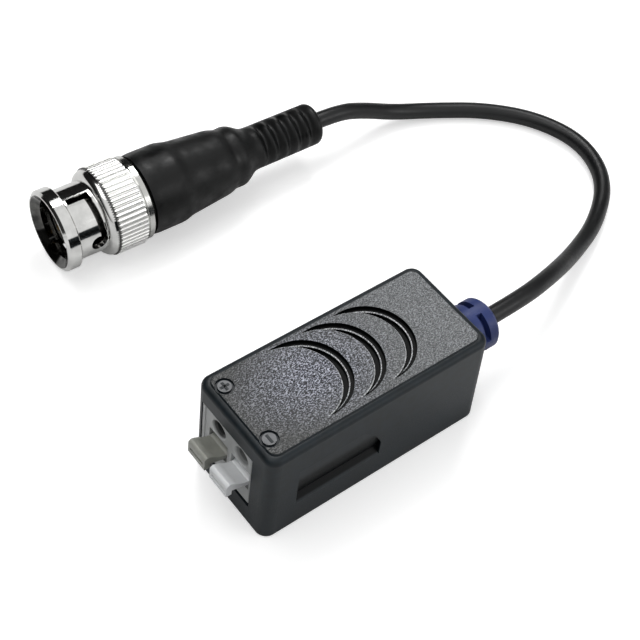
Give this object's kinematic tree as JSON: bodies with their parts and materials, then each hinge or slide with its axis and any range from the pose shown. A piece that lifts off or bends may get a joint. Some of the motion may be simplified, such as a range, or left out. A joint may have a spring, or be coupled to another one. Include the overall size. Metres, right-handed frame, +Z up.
{
  "type": "cctv video balun",
  "caption": "Small box with push-lever wire terminals at one end and a short coaxial lead to a bayonet video plug, for running a camera's picture over a twisted pair.",
  "frame": {"origin": "on the housing's underside, midway between the lid's two ends", "axes": "+X from the wire terminal to the cord exit, +Y to the side where the plug lies, +Z up"},
  "size_m": [0.0973, 0.0658, 0.0185],
  "materials": {
    "housing_plastic": "satin moulded ABS with a spark-eroded top panel",
    "block_nylon": "moulded nylon",
    "lever_grey_nylon": "moulded nylon",
    "lever_white_nylon": "moulded nylon",
    "spring_steel": "plain spring steel",
    "tinned_brass": "tin plated",
    "board_laminate": "glass laminate with green mask",
    "ferrite": "sintered ferrite",
    "enamelled_copper": "enamelled wire",
    "ceramic": "glazed ceramic",
    "cord_jacket": "satin PVC jacket",
    "blue_rubber": "satin moulded PVC",
    "boot_rubber": "matt moulded PVC",
    "nickel_plate": "bright nickel plate on turned brass",
    "white_ptfe": "turned PTFE",
    "gold_plated_brass": "gold plated",
    "silicone_rubber": "moulded silicone"
  },
  "bodies": {
    "housing": {"housing_base": "housing_plastic", "housing_lid": "housing_plastic", "terminal_block": "block_nylon", "lever_pin": "spring_steel", "clamp_spring_plus": "spring_steel", "clamp_spring_minus": "spring_steel", "contact_plus": "tinned_brass", "contact_minus": "tinned_brass", "circuit_board": "board_laminate", "ferrite_core": "ferrite", "line_winding": "enamelled_copper", "video_winding": "enamelled_copper", "capacitor_plus": "ceramic", "capacitor_minus": "ceramic", "surge_arrester": "ceramic", "signal_lead": "tinned_brass", "shield_lead": "tinned_brass", "cable_tail": "cord_jacket", "cord_grommet": "blue_rubber", "cord": "cord_jacket", "cable_boot": "boot_rubber", "plug_cable": "cord_jacket", "crimp_ferrule": "nickel_plate", "core_wire": "tinned_brass", "plug_body": "nickel_plate", "plug_insulator": "white_ptfe", "centre_pin": "gold_plated_brass", "plug_gasket": "silicone_rubber", "wave_washer": "spring_steel"},
    "plus_lever": {"lever_plus": "lever_grey_nylon"},
    "minus_lever": {"lever_minus": "lever_white_nylon"},
    "nut_carrier": {"slip_washer": "tinned_brass"},
    "nut": {"coupling_nut": "nickel_plate", "thrust_ring": "nickel_plate"}
  },
  "joints": [
    {"name": "plus_press", "type": "hinge", "parent": "housing", "child": "plus_lever", "pos_m": [-0.0138, 0.00306, 0.0093], "axis": [0, -1, 0], "range_deg": [0, 10], "stiffness_Nm_per_rad": 0.3, "springref_deg": -5.73},
    {"name": "minus_press", "type": "hinge", "parent": "housing", "child": "minus_lever", "pos_m": [-0.0138, -0.00202, 0.0093], "axis": [0, -1, 0], "range_deg": [0, 10], "stiffness_Nm_per_rad": 0.3, "springref_deg": -5.73},
    {"name": "nut_float", "type": "slide", "parent": "housing", "child": "nut_carrier", "axis": [-0.9992, 0.0393, 0], "range_m": [0, 0.0008], "stiffness_N_per_m": 4000, "springref_m": -0.001, "deforming": ["wave_washer"]},
    {"name": "nut_turn", "type": "hinge", "parent": "nut_carrier", "child": "nut", "pos_m": [-0.00726, 0.05006, 0.0073], "axis": [-0.9992, 0.0393, 0], "continuous": true}
  ]
}
